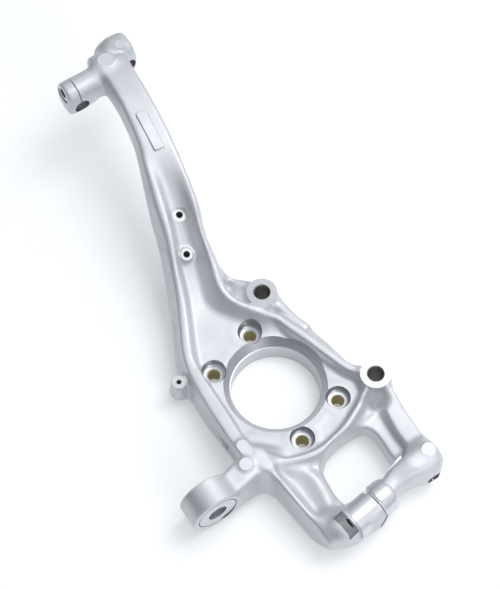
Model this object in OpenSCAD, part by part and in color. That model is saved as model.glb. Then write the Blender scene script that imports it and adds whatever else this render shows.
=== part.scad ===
// Steering knuckle: one aluminium forging with a bearing seat, a goose neck, a pair of slit
// clamps at each end, two caliper bosses and a steering eye with a pressed-in steel bush.
// Millimetres. The wheel axis is z, with z = 0 on the outboard bearing seat and +z inboard.
// x and y follow the bearing bolt rectangle, with its long side along y, towards the neck.

/* [Bearing seat] */
// pilot bore of the wheel bearing
bore_d = 86; // [70:1:100]
// wide end of the machined cone around the pilot bore
cone_d = 102; // [90:1:120]
// height of the pilot bore's inboard rim above the seat
rim_z = 20; // [14:1:26]
// bearing bolt spacing along x
bolt_x = 54.3; // [40:0.1:70]
// bearing bolt spacing along y
bolt_y = 108.2; // [90:0.1:130]
// bearing bolt hole
bolt_d = 12; // [8:0.5:16]
// counterbore for the bearing bolt heads
head_d = 24; // [18:1:30]

/* [Caliper bosses] */
// distance between the caliper bolts, along y
caliper_span = 139; // [120:1:160]
// distance of the caliper bolts from the wheel axis, along x
caliper_x = 64.3; // [58:0.1:80]
// caliper bolt hole
caliper_d = 15; // [10:0.5:18]
// machined face of a caliper boss
caliper_face_d = 30; // [26:1:40]
// height of the caliper faces above the bearing seat
caliper_z = 40; // [30:1:50]

/* [Forging] */
// turn of the neck, the clamps and the steering eye about the wheel axis
pivot_turn = 17.2; // [0:0.1:30]
// top of the bearing plate
plate_z = 27; // [22:1:34]
// underside of the plate around the seat
under_z = 5; // [2:1:10]
// crest of the ribs around the plate
rib_z = 40; // [32:1:48]

/* [Upper clamps] */
// distance of the upper clamps from the wheel axis, along the neck
upper_y = 350; // [300:1:400]
// distance between the two upper pins
upper_span = 65; // [50:1:80]
// pin bore of all four clamps
pin_d = 16; // [12:0.5:20]
// centre of the upper pins above the seat
upper_z = 93; // [80:1:110]
// slit of all four clamps
slit = 3; // [1.5:0.5:5]
// pinch bolt hole
pinch_d = 10.5; // [8:0.5:14]
// distance from a pin to its pinch bolt
pinch_gap = 11.5; // [9:0.5:16]

/* [Lower clamps] */
// distance of the first lower pin from the wheel axis, along the neck
lower_y = -150; // [-180:1:-120]
// centre of the lower pins above the seat
lower_z = 22; // [16:1:30]
// distance between the two lower pins
lower_span = 63; // [50:1:80]
// turn of the lower clamp bar against the upper one
lower_turn = 8; // [0:1:15]

/* [Steering eye] */
// outside of the steering eye
eye_d = 51; // [40:1:64]
// seat of the pressed-in bush
bush_d = 39; // [30:1:46]
// length of the eye
eye_len = 25; // [20:1:40]
// hole through the bush
bush_hole_d = 19; // [12:1:24]

/* [Small bosses] */
// distance between the two bracket holes in the neck channel
bracket_span = 40; // [30:0.5:60]
// bracket hole
bracket_hole_d = 6.5; // [4:0.1:8]
// machined face of a bracket boss
bracket_face_d = 13; // [10:0.5:18]
// hole in the small boss on the left edge
side_hole_d = 4; // [2:0.1:6]
// face of the small boss on the left edge
side_boss_d = 15; // [10:0.5:20]
// height of the small boss on the left edge
side_boss_z = 30; // [20:1:36]
// spot face for a pinch bolt head or nut
seat_d = 22; // [16:0.5:26]
// round seat of the lower pinch bolt, in its pocket
pocket_d = 28; // [22:0.5:32]

/* [Hidden] */

$fn = 48;
// one step beyond a face, so that a cut always breaks through it
over = 1;
// pins of the clamps, across the neck
upper_x = -8;
lower_x = 7;
// left end of the lower bar, its bolt seat and the width of the pocket in front of the seat
lower_left = -44;
lower_seat = -30;
pocket_w = 11;
// from a pin to the end of its ear, along the bar
ear = 12.5;
lower_ear = 14;
// the round right clamp, from its own pin: middle along the bar, middle across it and half its depth
lobe_x = -6;
lobe_y = 21;
lobe_half = 18;
// line of the left upper pinch bolt across the bar, and how far it reaches past its pin
upper_bolt_y = 3;
upper_bolt_end = 30;
// how far the pin bores reach on either side of a bar, and the lower ones on the window side
pin_reach = 30;
pin_out = 20;
// height of the machined cone above the pilot bore's rim, and the metal around cone and counterbores
cone_h = 9;
seat_rim = 6;
head_rim = 4;
// the small boss on the left edge, in the pivot axes
side_x = -76;
side_y = 52;
// the eye, across and along the neck, and its height above the seat
eye_x = -116.7;
eye_y = -79.3;
eye_z = 30;
// bracket bosses: middle, slope of the channel floor and turn of the pair
bracket_x = 4.6;
bracket_y = 170;
bracket_z = 64;
bracket_tilt = 20;
bracket_turn = -21;
// bare plate pad on the neck
plate_pad_w = 11.5;
plate_pad_l = 49;
steel = [0.72, 0.73, 0.75];
alloy = [0.82, 0.83, 0.85];

// helpers

// smooth curve through control rows, each a list of numbers of any length
function spline1(a, b, c, d, t) =
    0.5 * ((2 * b) + (c - a) * t + (2 * a - 5 * b + 4 * c - d) * t * t
    + (3 * b - a - 3 * c + d) * t * t * t);
function spline(rows, steps) = let (n = len(rows)) [
    for (i = [0 : n - 2]) for (s = [0 : steps - 1])
        spline1(rows[max(i - 1, 0)], rows[i], rows[i + 1], rows[min(i + 2, n - 1)], s / steps),
    rows[n - 1]];
// the same for a closed outline
function loop_spline(rows, steps) = let (n = len(rows)) [
    for (i = [0 : n - 1]) for (s = [0 : steps - 1])
        spline1(rows[(i + n - 1) % n], rows[i], rows[(i + 1) % n], rows[(i + 2) % n], s / steps)];
function flat(v) = let (h = [v[0], v[1]]) h / norm(h);
function reversed(l) = [for (i = [len(l) - 1 : -1 : 0]) l[i]];
function middle(r) = [for (k = [0 : 2]) sum_of([for (p = r) p[k]]) / len(r)];
function sum_of(v, i = 0) = i == len(v) ? 0 : v[i] + sum_of(v, i + 1);

// a closed skin over rings of equal point counts, each end closed by a fan about its middle
module skin(rings) {
    n = len(rings[0]);
    m = len(rings);
    e = n * m;
    polyhedron(points = concat([for (r = rings) each r], [middle(rings[0]), middle(rings[m - 1])]),
        convexity = 8, faces = [
            for (i = [0 : n - 1]) let (k = (i + 1) % n) [e, i, k],
            for (j = [0 : m - 2]) for (i = [0 : n - 1]) each let (k = (i + 1) % n)
                [[j * n + i, (j + 1) * n + k, j * n + k], [j * n + i, (j + 1) * n + i, (j + 1) * n + k]],
            for (i = [0 : n - 1]) let (k = (i + 1) % n) [e + 1, (m - 1) * n + k, (m - 1) * n + i]]);
}

// a plate of the forging over an anticlockwise outline
module slab(outline, z0, z1) translate([0, 0, z0])
    linear_extrude(z1 - z0) polygon(loop_spline(outline, 3));

// a forged rib along control rows of
// [x, y, crest height, half width of the crest, base width on the left hand, base width on the right hand]
module rib(rows, base_z, steps = 2) {
    c = spline(rows, steps);
    n = len(c);
    skin([for (i = [0 : n - 1])
        let (t = flat(c[min(i + 1, n - 1)] - c[max(i - 1, 0)]), q = [t[1], -t[0]], p = [c[i][0], c[i][1]],
            w = c[i][3], l = c[i][4], r = c[i][5], h = c[i][2] - base_z)
        [for (s = [[-l, 0], [-(w + l) / 2 - 0.5, 0.4], [-w - 0.8, 0.84], [-w * 0.5, 1], [w * 0.5, 1],
                   [w + 0.8, 0.84], [(w + r) / 2 + 0.5, 0.4], [r, 0]])
            [p[0] + q[0] * s[0], p[1] + q[1] * s[0], base_z + h * s[1]]]]);
}

// turned into the pivot axes
module pivot() rotate([0, 0, -pivot_turn]) children();
// the lower clamp bar: x along the bar, with the first pin at the origin
module lower_bar() pivot() translate([lower_x, lower_y, lower_z]) rotate([0, 0, lower_turn]) children();
// the upper clamp bar: x along the bar, with the first pin at the origin
module upper_bar() pivot() translate([upper_x, upper_y, upper_z]) children();

// neck

// rows of [part of the way from the hub to the upper clamps, across, crest height under the upper pins,
// width, depth, channel depth, flange width, left slope, right slope]
neck_rows = [for (r = [
    [0.126, -17, 67, 112, 20, 0, 7, 10, 5],
    [0.183, -15, 56, 108, 31, 8, 7, 10, 5],
    [0.286, -11, 47, 82, 36, 13, 7, 10, 5],
    [0.386, -7, 34, 58, 37, 15, 7, 9, 5],
    [0.48, 2.5, 20, 51, 36, 14, 8, 8, 5],
    [0.563, 11.5, 8, 52, 35, 12, 9, 7, 4],
    [0.671, 21.5, -5, 45, 33, 7, 10, 5, 3],
    [0.771, 29.5, -14, 39, 31, 2, 10, 4, 2.5],
    [0.871, 34, -20, 37, 30, 0.4, 10, 4, 2.5],
    [0.954, 36, -22, 38, 30, 0.2, 10, 5, 2.5],
    [1.017, 37, -21, 40, 28, 0, 10, 6, 2.5]])
    [r[1], r[0] * upper_y, upper_z - r[2], r[3], r[4], r[5], r[6], r[7], r[8]]];

// one side of the section, from the bottom of the channel out to the underside
function neck_half(a, h, d, f, s) = let (b = a - s, g = min(11, (b - f) * 0.7))
    [[b - f - g, -d], [b - f - g * 0.45, -d * 0.55], [b - f, 0], [b - 1.5, 0], [b + 0.3, -2.2],
     [a, -h * 0.5 - 1], [a - 1.2, -h + 4], [a - 6, -h]];
function neck_section(w, h, d, f, l, r) = concat(
    neck_half(w / 2, h, d, f, r), reversed([for (p = neck_half(w / 2, h, d, f, l)) [-p[0], p[1]]]));

module neck() {
    c = spline(neck_rows, 3);
    n = len(c);
    skin([for (i = [0 : n - 1])
        let (p = [c[i][0], c[i][1], c[i][2]], e = c[min(i + 1, n - 1)] - c[max(i - 1, 0)],
            t = [e[0], e[1], e[2]] / norm([e[0], e[1], e[2]]), side = [flat(e)[1], -flat(e)[0], 0],
            up = cross(side, t))
        [for (s = neck_section(c[i][3], c[i][4], c[i][5], c[i][6], c[i][7], c[i][8]))
            p + s[0] * side + s[1] * up]]);
}

// body around the wheel axis

module body() {
    // bearing plate, from the neck root to the lower ribs
    slab([[18, 128], [24, 112], [35, 107], [50, 97], [57, 74], [59, 46], [67, 18], [71, -6], [73, -22],
          [84, -30], [92, -46], [84, -64], [66, -74], [44, -78], [20, -84], [-4, -86], [-30, -84],
          [-52, -72], [-66, -40], [-70, -10], [-71, 12], [-70, 38], [-66, 66], [-48, 100], [-34, 132],
          [-6, 136]], under_z, plate_z);
    // lower body, from the plate to the clamp bar, left of the window
    slab([[-64, -40], [-58, -66], [-55, -96], [-52, -124], [-45, -144], [-36, -157], [-25, -166],
          [-12, -163], [-8, -146], [-14, -126], [-15, -108], [-10, -92], [2, -80], [-10, -66], [-46, -30]],
         5.6, 26.2);
    // strut side, right of the window
    slab([[62, -62], [88, -52], [87, -80], [84, -108], [84, -130], [70, -138], [52, -134], [49, -118],
          [50, -94], [44, -82], [30, -76]], 6.3, 22.4);
}

module ribs() {
    // left edge of the neck and plate, down the lower body to the clamp bar
    rib([[-24, 132, 55, 4, 9, 8], [-38, 100, 45, 4.5, 12, 10], [-54, 64, 40, 5, 13, 9],
         [-64, 28, 40, 5, 14, 7], [-66, -4, 40, 5, 14, 6], [-62, -34, 40, 5.5, 15, 7],
         [-62, -62, 41, 5, 17, 5], [-59, -88, 41, 4.5, 20, 2.5], [-54, -112, 40, 4.5, 22, 3],
         [-47, -132, 37, 5, 22, 6], [-40, -147, 30, 5, 18, 8]], under_z + 0.7);
    // under the bearing plate, from the left edge round to the lower caliper boss
    rib([[-62, -44, 40, 5, 12, 14], [-46, -64, 38, 4, 11, 14], [-22, -74, 37, 4, 10, 12],
         [8, -76, 37, 4, 10, 10], [34, -72, 37, 4, 10, 12], [56, -60, 38, 4.5, 12, 16],
         [76, -50, 39, 5, 14, 14]], under_z + 1.2);
    // right edge, from the neck past the upper caliper boss to the lower one
    rib([[16, 134, 58, 4, 6, 10], [16, 112, 48, 4.5, 7, 13], [27, 92, 42, 4.5, 9, 16],
         [43, 66, 39, 4, 10, 18], [52, 40, 38, 3.5, 10, 17], [60, 14, 37, 3.5, 10, 17],
         [65, -10, 37, 3.5, 9, 16], [70, -28, 38, 4, 9, 14]],
        under_z + 1.7);
    // strut from the lower caliper boss to the clamp bar
    rib([[80, -52, 38, 9, 13, 14], [77, -76, 35, 9.5, 13.5, 15], [76, -100, 34, 9.5, 13.5, 14.5],
         [75, -124, 35, 9.5, 13.5, 14.5], [75, -138, 34, 10, 14, 14]], under_z + 0.4);
    // rounded lip along the near side of the window
    rib([[-50, -68, 37, 3, 10, 10], [-34, -79, 33, 3, 10, 10], [-22, -92, 31, 4, 10, 10],
         [-19, -110, 30, 4, 10, 10], [-22, -130, 31, 4, 10, 10], [-22, -142, 32, 4, 10, 10]],
        under_z + 2.2);
    // from the lower ribs across to the steering eye
    rib([[-50, -60, 40, 12, 24, 20], [-66, -59, 41, 12, 22, 18], [-82, -62, 42, 12, 18, 16],
         [-98, -66, 43, 11, 14, 14], [-112, -68, 44, 10, 12, 12]], 9.3);
}

// caliper bosses

module caliper_bosses() for (s = [-1, 1]) translate([caliper_x, s * caliper_span / 2, 0]) {
    translate([0, 0, under_z + 2])
        cylinder(d1 = caliper_face_d + 8, d2 = caliper_face_d + 2, h = caliper_z - under_z - 4);
    translate([0, 0, caliper_z - 2 - over]) cylinder(d = caliper_face_d, h = 2 + over);
}

// small bosses and flat pads

// the side boss, the two bracket bosses, five flat round pads, the bare plate pad and the oblong pad
module small_bosses() {
    pivot() translate([side_x, side_y, 8]) {
        cylinder(d1 = 20, d2 = side_boss_d + 1, h = side_boss_z - 9);
        cylinder(d = side_boss_d, h = side_boss_z - 8);
        rotate([0, 0, -75]) translate([-7, 0, 0]) cube([14, 14, side_boss_z - 13]);
    }
    bracket_place() translate([0, 0, -10]) {
        cylinder(d = bracket_face_d, h = 10);
        cylinder(d1 = bracket_face_d + 6, d2 = bracket_face_d, h = 9);
    }
    pivot() for (p = [[-72, -58, rib_z + 4, 12.5], [-64, -40, rib_z + 2, 11], [78, -137, rib_z + 3, 12],
                      [34, upper_y + 7, upper_z + 22.5, 17], [56, upper_y + 16, upper_z + 23, 10]])
        translate([p[0], p[1], p[2] - 8]) cylinder(d = p[3], h = 8);
    pivot() translate([32, 0.774 * upper_y, upper_z + 14.4]) rotate([9, 0, -8]) plate_pad();
    pivot() translate([-72.5, -14, 17]) rotate([0, -90, -8]) oblong_pad(9, 16);
}

// a pad w wide with round ends l apart
module oblong_pad(w, l) linear_extrude(3) union() {
    translate([-w / 2, -l / 2]) square([w, l]);
    for (y = [-l / 2, l / 2]) translate([0, y]) circle(d = w);
}

// a bare rounded plate, raised from the neck
module plate_pad() translate([-plate_pad_w / 2, -plate_pad_l / 2, -3]) linear_extrude(3) union() {
    translate([2, 0]) square([plate_pad_w - 4, plate_pad_l]);
    translate([0, 2]) square([plate_pad_w, plate_pad_l - 4]);
    for (x = [2, plate_pad_w - 2], y = [2, plate_pad_l - 2]) translate([x, y]) circle(2);
}

module bracket_place() pivot() translate([bracket_x, bracket_y, bracket_z]) rotate([bracket_tilt, 0, 0])
    rotate([0, 0, bracket_turn]) for (s = [-1, 1]) translate([0, s * bracket_span / 2, 0]) children();

module small_cuts() {
    pivot() translate([side_x, side_y, -over]) cylinder(d = side_hole_d, h = side_boss_z + 20);
    bracket_place() translate([0, 0, -12]) cylinder(d = bracket_hole_d, h = 30);
    bracket_place() cylinder(d = bracket_face_d + 4, h = 12);
}

// bearing seat

module seat() {
    cylinder(d = cone_d + 2 * seat_rim, h = plate_z - 3);
    for (sx = [-1, 1], sy = [-1, 1]) translate([sx * bolt_x / 2, sy * bolt_y / 2, 0])
        cylinder(d = head_d + 2 * head_rim, h = plate_z - 3);
}

// clamp bars

// a forged bar along x through control rows of [x, middle in y, half depth, bottom, top]
module bar(rows, steps = 2, power = 2.4) {
    c = spline(rows, steps);
    skin([for (r = c) let (m = (r[3] + r[4]) / 2, h = (r[4] - r[3]) / 2)
        [for (i = [0 : 17])
            let (a = 13 + 20 * i, k = pow(pow(abs(cos(a)), power) + pow(abs(sin(a)), power), -1 / power))
            [r[0], r[1] + r[2] * k * cos(a), m + h * k * sin(a)]]]);
}

module upper_head() upper_bar() {
    // left clamp, with its pin low in the bar
    bar([[-ear, 0.5, 12.5, -12.5, 19.5], [-ear + 1.5, 0.5, 14.5, -14.5, 21.5], [0, 0.5, 14.8, -14.5, 22],
         [12, 1, 14.5, -14, 21.5], [24, 2, 14, -12.5, 21], [43, 3, 14, -12, 21]], 1);
    // end of the neck over the bar
    bar([[27, 11, 4, -4, 10], [29.5, 11, 11, -9, 18], [35, 11, 15, -12, 21], [50, 11, 16, -13, 22]]);
    // round right clamp
    translate([upper_span + lobe_x, lobe_y, 0]) bar([
        [-22, 3, 4, -2, 6], [-19, 2.5, 9, -9, 13], [-12, 1.5, 14, -15, 18],
        [-3, 0, lobe_half, -20, 22.5], [8, 0, lobe_half, -20, 22.5],
        [14, 0, lobe_half - 1.5, -18.5, 21], [17, 0, lobe_half - 5, -15, 17.5]]);
}

module lower_head() lower_bar() {
    bar([[lower_left - 15, 3, 3, -1, 8], [lower_left - 13.5, 3, 7, -6, 12],
         [lower_left - 8, 3, 9.5, -10, 16], [lower_left, 1.5, 13, -14.5, 20.5],
         [-34, 1, 14.2, -15.2, 21.6], [-25, 1, 14.2, -15.5, 21.6],
         [-17, -0.5, 16, -16, 21.6], [-9, -1.5, 17.5, -16.5, 21.6], [0, -1, 17, -16.5, 21.6],
         [7, 0.5, 15, -16, 21.6], [18, 1.5, 13.8, -14, 21], [29, 3.8, 12.5, -12.5, 20.5],
         [40, 3, 13.5, -13.5, 22.5], [lower_span - 15, 2, 15, -15, 24], [lower_span - 6, 0.5, 17, -16, 24],
         [lower_span + 4, -0.3, 18, -16, 24], [lower_span + 10, 0.8, 16, -15, 23.5],
         [lower_span + 14, 2, 12.5, -11.5, 21], [lower_span + 16, 3, 7, -6, 16]], 1, 2.8);
}

// steering eye

module eye_place() pivot() translate([eye_x, eye_y, eye_z]) rotate([-90, 0, 0]) children();

module eye() eye_place() cylinder(d = eye_d, h = eye_len);

// cuts

module bearing_cuts() {
    translate([0, 0, -over]) cylinder(d = bore_d, h = plate_z + rib_z);
    translate([0, 0, rim_z]) cylinder(d1 = bore_d + 2, d2 = cone_d, h = cone_h);
    translate([0, 0, rim_z + cone_h - 0.01]) cylinder(d = cone_d, h = 30);
    for (sx = [-1, 1], sy = [-1, 1]) translate([sx * bolt_x / 2, sy * bolt_y / 2, 0]) {
        translate([0, 0, -over]) cylinder(d = bolt_d, h = plate_z + 20);
        translate([0, 0, rim_z]) cylinder(d = head_d, h = 30);
    }
}

module caliper_cuts() for (s = [-1, 1]) translate([caliper_x, s * caliper_span / 2, 0]) {
    translate([0, 0, -over]) cylinder(d = caliper_d, h = caliper_z + 2 * over);
    translate([0, 0, caliper_z]) cylinder(d = caliper_face_d + 8, h = 20);
}

// a pin bore with its slit, from y0 to y1 along the pin; the slit opens upwards, or down for side = -1
module pin_cut(y0, y1, side = 1) {
    translate([0, y1, 0]) rotate([90, 0, 0]) cylinder(d = pin_d, h = y1 - y0);
    translate([-slit / 2, y0 - over, side > 0 ? 0 : -60]) cube([slit, y1 - y0 + 2 * over, 60]);
}

// a pinch bolt hole with the spot face of its head at x0, outwards along the bar
module pinch_cut(x0, x1, y, z, out) translate([0, y, z]) {
    translate([x0, 0, 0]) rotate([0, 90, 0]) cylinder(d = pinch_d, h = x1 - x0);
    translate([out < 0 ? x0 - 12 : x1, 0, 0]) rotate([0, 90, 0]) cylinder(d = seat_d, h = 12);
}

module clamp_cuts() {
    upper_bar() {
        pin_cut(-pin_reach, pin_reach);
        pinch_cut(-ear + 1, upper_bolt_end, upper_bolt_y, pinch_gap, -1);
        // the right clamp is slit from below and pinched from its own end
        translate([upper_span, 0, 0]) {
            pin_cut(lobe_y - lobe_half - 3, lobe_y + lobe_half + 10, -1);
            pinch_cut(-12, lobe_x + 16, lobe_y, -pinch_gap, 1);
        }
    }
    lower_bar() {
        for (x = [0, lower_span]) translate([x, 0, 0]) pin_cut(-pin_reach, pin_out);
        pinch_cut(lower_seat, lower_span + lower_ear, 0, pinch_gap, 1);
        // pocket with the seat of the bolt head
        translate([lower_seat - pocket_w, 0, pinch_gap]) {
            rotate([0, 90, 0]) cylinder(d = pocket_d, h = pocket_w);
            translate([0, -pocket_d / 2, 0]) cube([pocket_w, pocket_d, 30]);
        }
        // milled flats on the window side of the bar
        translate([-18, 13.5, -12]) cube([24, 12, 60]);
        translate([lower_span - 34, 15, -12]) cube([28, 4, 60]);
    }
}

// the open window between the plate, the lip, the bar and the strut
module window_cut() pivot() translate([0, 0, -over]) linear_extrude(60)
    polygon(loop_spline([[42, -82], [22, -81], [3, -85], [-8, -95], [-12.5, -110], [-14, -126],
        [-8, -137], [20, -137], [41, -125], [47, -108], [48, -92]], 4));

module forging() {
    pivot() {
        neck();
        body();
        ribs();
    }
    seat();
    caliper_bosses();
    small_bosses();
    upper_head();
    lower_head();
    eye();
}

module knuckle() color(alloy) difference() {
    forging();
    bearing_cuts();
    caliper_cuts();
    clamp_cuts();
    small_cuts();
    window_cut();
    eye_place() translate([0, 0, -over]) cylinder(d = bush_d, h = eye_len + 2 * over);
}

module tie_rod_bush() color(steel) eye_place() difference() {
    cylinder(d = bush_d, h = eye_len);
    translate([0, 0, -over]) cylinder(d = bush_hole_d, h = eye_len + 2 * over);
}

knuckle();
tie_rod_bush();
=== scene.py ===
import math

import bmesh
import bpy
import numpy as np
import openvdb
from mathutils import Matrix, Vector


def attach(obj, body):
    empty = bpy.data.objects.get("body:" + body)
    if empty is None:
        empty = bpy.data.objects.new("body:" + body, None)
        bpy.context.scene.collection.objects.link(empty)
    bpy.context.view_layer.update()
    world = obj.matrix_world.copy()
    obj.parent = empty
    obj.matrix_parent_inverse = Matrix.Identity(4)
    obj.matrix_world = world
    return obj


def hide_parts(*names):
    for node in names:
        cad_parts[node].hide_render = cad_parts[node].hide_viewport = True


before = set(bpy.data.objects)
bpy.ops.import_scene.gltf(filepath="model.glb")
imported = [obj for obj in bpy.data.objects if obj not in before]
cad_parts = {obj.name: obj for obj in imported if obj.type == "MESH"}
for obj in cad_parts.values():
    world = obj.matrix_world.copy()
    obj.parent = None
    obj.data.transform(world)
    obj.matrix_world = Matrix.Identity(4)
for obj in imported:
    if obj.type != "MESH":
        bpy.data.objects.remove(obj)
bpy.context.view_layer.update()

# The forging is drawn in millimetres in its pivot axes: x across the neck, y along it, z up from the
# bearing seat, which lies on the floor.
MM = 0.001
PIVOT_TURN = math.radians(17.2)

# grid of distances that the forging is blended on, the largest distance kept, and steps between rows
GRID = 1.65
GRID_LOW = (-152.0, -182.0, -4.0)
GRID_HIGH = (106.0, 384.0, 122.0)
FAR = 12.0
CURVE_STEPS = 6
OUTLINE_STEPS = 5

# bearing plate, as in the CAD model
BORE_R = 43.0
CONE_R = 51.0
CONE_H = 9.0
RIM_Z = 20.0
UNDER_Z = 5.0
PLATE_Z = 27.0
BOLT_X = 27.15
BOLT_Y = 54.1
BOLT_R = 6.0
HEAD_R = 12.0

# full ring round the cone, and fillet at the floor of the four counterbores
RING_R = 57.0
HEAD_FILLET = 4.0

# caliper bosses, as in the CAD model
CALIPER_X = 64.3
CALIPER_Y = 69.5
CALIPER_Z = 40.0
CALIPER_R = 7.5
CALIPER_FACE_R = 15.0

# clamps, as in the CAD model: the left pin of each bar, and the span from there to the right pin
UPPER = (-8.0, 350.0, 93.0)
UPPER_SPAN = 65.0
UPPER_EAR = 12.5
UPPER_BOLT_Y = 3
UPPER_BOLT_END = 30
LOBE_X = -6.0
LOBE_Y = 21.0
LOBE_HALF = 18.0
LOWER = (7.0, -150.0, 22.0)
LOWER_TURN = math.radians(8)
LOWER_SPAN = 63.0
LOWER_EAR = 14.0
LOWER_SEAT = -30.0
PIN_R = 8.0
PIN_REACH = 30
PIN_OUT = 20
PINCH_R = 5.25
PINCH_GAP = 11.5
SEAT_R = 11.0
POCKET_W = 11.0

# clamps, as the photo shows them: slits and pocket are narrower here than in the CAD model, and two
# slits open downwards
SLIT = 1.4
SLIT_DOWN = (-50, 0)
POCKET_R = 12.0
BARREL_R = 16.6
BARREL_Y = -0.2
BARREL_Z = 5.2
BARREL_GROOVE = 4.6

# how far a through cut runs past a face, and how far an open cut reaches
OVER = 5
CLEAR = 40

# steering eye and its bush
EYE = (-116.7, -79.3, 30.0)
EYE_R = 25.5
EYE_LEN = 25.0
EYE_EDGE = 0.9
BUSH_R = 19.5
BUSH_GAP = 0.8
BUSH_GAP_DEPTH = 1.8

# the two bracket bosses in the channel, and the side boss
SMALL_R = 6.5
BRACKET = (4.6, 170.0, 64.0)
BRACKET_TILT = math.radians(20)
BRACKET_TURN = math.radians(21)
BRACKET_SPAN = 40.0
BRACKET_HOLE_R = 2.9
SIDE_BOSS = (-76.0, 52.0, 30.0)
SIDE_HOLE_R = 2.0

# flat pads on the lower body: x, y, height, radius
FLAT_PADS = ((-72, -58, 44, 6.2), (-64, -40, 42, 5.5), (77, -138.4, 46, 5.6))
# round pads on the upper bar: x, y, radius, radius of the flat on top
UPPER_PADS = ((34, 357, 8.5, 8.7), (56, 366, 5, 5.3))
UPPER_PAD_Z = 22.6

# raised plate on the neck, and the pad on the outer wall: place, then turn and tilt
PLATE_PAD = (29, 266, 107.3)
PLATE_PAD_TURN = math.radians(-5.4)
PLATE_PAD_TILT = math.radians(12.6)
WALL_PAD = (-72.5, -14, 17)
WALL_PAD_TURN = math.radians(-8)

# outlines of the plate, the lower body, the side beyond the window, and the window
PLATE = [
    [18, 128], [24, 112], [35, 107], [50, 97], [57, 74], [59, 46], [67, 18], [71, -6],
    [73, -22], [84, -30], [92, -46], [84, -64], [66, -74], [44, -78], [20, -84], [-4, -86],
    [-30, -84], [-52, -72], [-66, -40], [-70, -10], [-71, 12], [-70, 38], [-66, 66],
    [-48, 100], [-34, 132], [-6, 136]]
LOWER_BODY = [
    [-64, -40], [-58, -66], [-55, -96], [-52, -124], [-45, -144], [-36, -157], [-25, -166],
    [-12, -163], [-8, -146], [-14, -126], [-15, -108], [-10, -92], [2, -80], [-10, -66],
    [-46, -30]]
STRUT_SIDE = [
    [62, -62], [88, -52], [87, -80], [84, -108], [84, -130], [70, -138], [52, -134],
    [49, -118], [50, -94], [44, -82], [30, -76]]
WINDOW = [
    [42, -82], [22, -81], [3, -85], [-8, -95], [-12.5, -110], [-14, -126],
    [-8, -137], [20, -137], [41, -125], [47, -108], [48, -92]]

# goose neck: x, y, crest height, half width left and right, depth, depth of the channel, slope left
# and right, the channel's edge left and right, width of the channel's right wall
NECK = [
    [-17, 44, 26, 56, 56, 20, 0, 10, 5, 40, 44, 12],
    [-15, 64, 37, 54, 54, 31, 9, 10, 5, 36, 44, 14],
    [-11, 100, 46, 41, 27, 36, 14, 10, 5, 24, 18, 14],
    [-7, 135, 59, 29, 29, 37, 15, 9, 5, 14, 19.5, 12],
    [2.5, 168, 73, 25.5, 25.5, 36, 12.5, 8, 5, 9.5, 19, 11],
    [11.5, 197, 85, 26, 26, 35, 8, 7, 4, 9.5, 18, 11],
    [21.5, 235, 98, 22.5, 22.5, 33, 2.2, 5, 3, 10.5, 16.5, 11],
    [25.6, 251, 102.4, 21, 21, 32, 0.4, 5, 3, 10.7, 15, 8],
    [29.5, 270, 107, 19.5, 19.5, 31, 0.2, 4, 2.5, 11, 14, 4],
    [34, 305, 113, 18.5, 18.5, 30, 0.2, 4, 2.5, 11, 14, 4],
    [36, 334, 115, 19, 19, 30, 0.2, 5, 2.5, 11, 14, 4],
    [37, 356, 114, 20, 20, 28, 0.2, 6, 2.5, 11, 14, 4]]
# fillet of its edges, how far under the crest its sides start, how far in they lean at the bottom,
# and the width of the channel's left wall
NECK_FILLET = 4
NECK_SHOULDER = 2
NECK_LEAN = 4
LEFT_WALL = 4.0

# ribs: x, y, crest height, half width of the crest, width of the foot to the left and to the right
LEFT_EDGE = [
    [-16, 164, 62, 2.5, 6, 6], [-24.5, 132, 53.5, 4, 8, 8], [-40, 100, 45, 4.5, 10, 9],
    [-57, 64, 40, 5, 12, 9], [-62, 28, 40, 6.5, 13, 9], [-63.5, -4, 40, 7, 13, 9],
    [-64.5, -30, 40, 6.5, 14, 7], [-61.5, -48, 40, 5.5, 15, 7], [-56.5, -66, 39.5, 3, 16, 7],
    [-53.6, -87, 39, 2.4, 19, 5.5], [-51.5, -110, 38.5, 2.4, 19, 5], [-49, -130, 37, 2.6, 18, 6],
    [-46, -143, 35, 3, 16, 5.5], [-39.5, -151, 30, 4, 16, 7]]
ARC_UNDER_PLATE = [
    [-59, -54, 39, 3, 10, 12], [-42, -69.4, 37.5, 2.8, 8, 14], [-25, -77.3, 37, 2.8, 8, 14],
    [-5, -80.9, 37, 2.8, 8, 13], [13.4, -78.6, 37, 2.8, 8, 12], [29, -74.3, 37, 2.8, 8, 12],
    [45.4, -67.1, 37.5, 2.8, 9, 12], [58, -60.8, 38, 3, 10, 12], [70, -54, 38.5, 4, 12, 12]]
RIGHT_EDGE = [
    [19, 152, 58, 2.5, 5, 8], [15.1, 131, 55, 3, 6, 12], [10.4, 116.7, 51, 3, 6, 14],
    [9.6, 102.3, 46, 2.6, 6, 15], [14.3, 88.9, 43, 2.6, 6, 15], [26, 73.3, 41, 2.8, 7, 14],
    [37.5, 57.5, 39.5, 3.2, 10, 14], [44, 40, 38.5, 3.6, 15, 13], [51, 20.5, 38, 3.8, 15, 12],
    [57.5, -1.2, 37.5, 3.8, 14, 12], [65, -23.9, 37.5, 4, 11, 12], [72, -34, 38, 4, 9, 12]]
CALIPER_LIP = [
    [18, 128, 43, 2.2, 6, 6], [23, 118, 37.5, 2.4, 6, 5], [29, 109, 36, 3, 7, 6],
    [35, 101, 36.5, 3.5, 8, 8]]
CALIPER_WEB = [
    [41, 84, 37, 7, 13, 14], [47.5, 70, 36.5, 5, 9.5, 13], [52, 52, 36, 3.5, 7.5, 12],
    [58.5, 32, 35.5, 2.5, 8.5, 12]]
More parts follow.
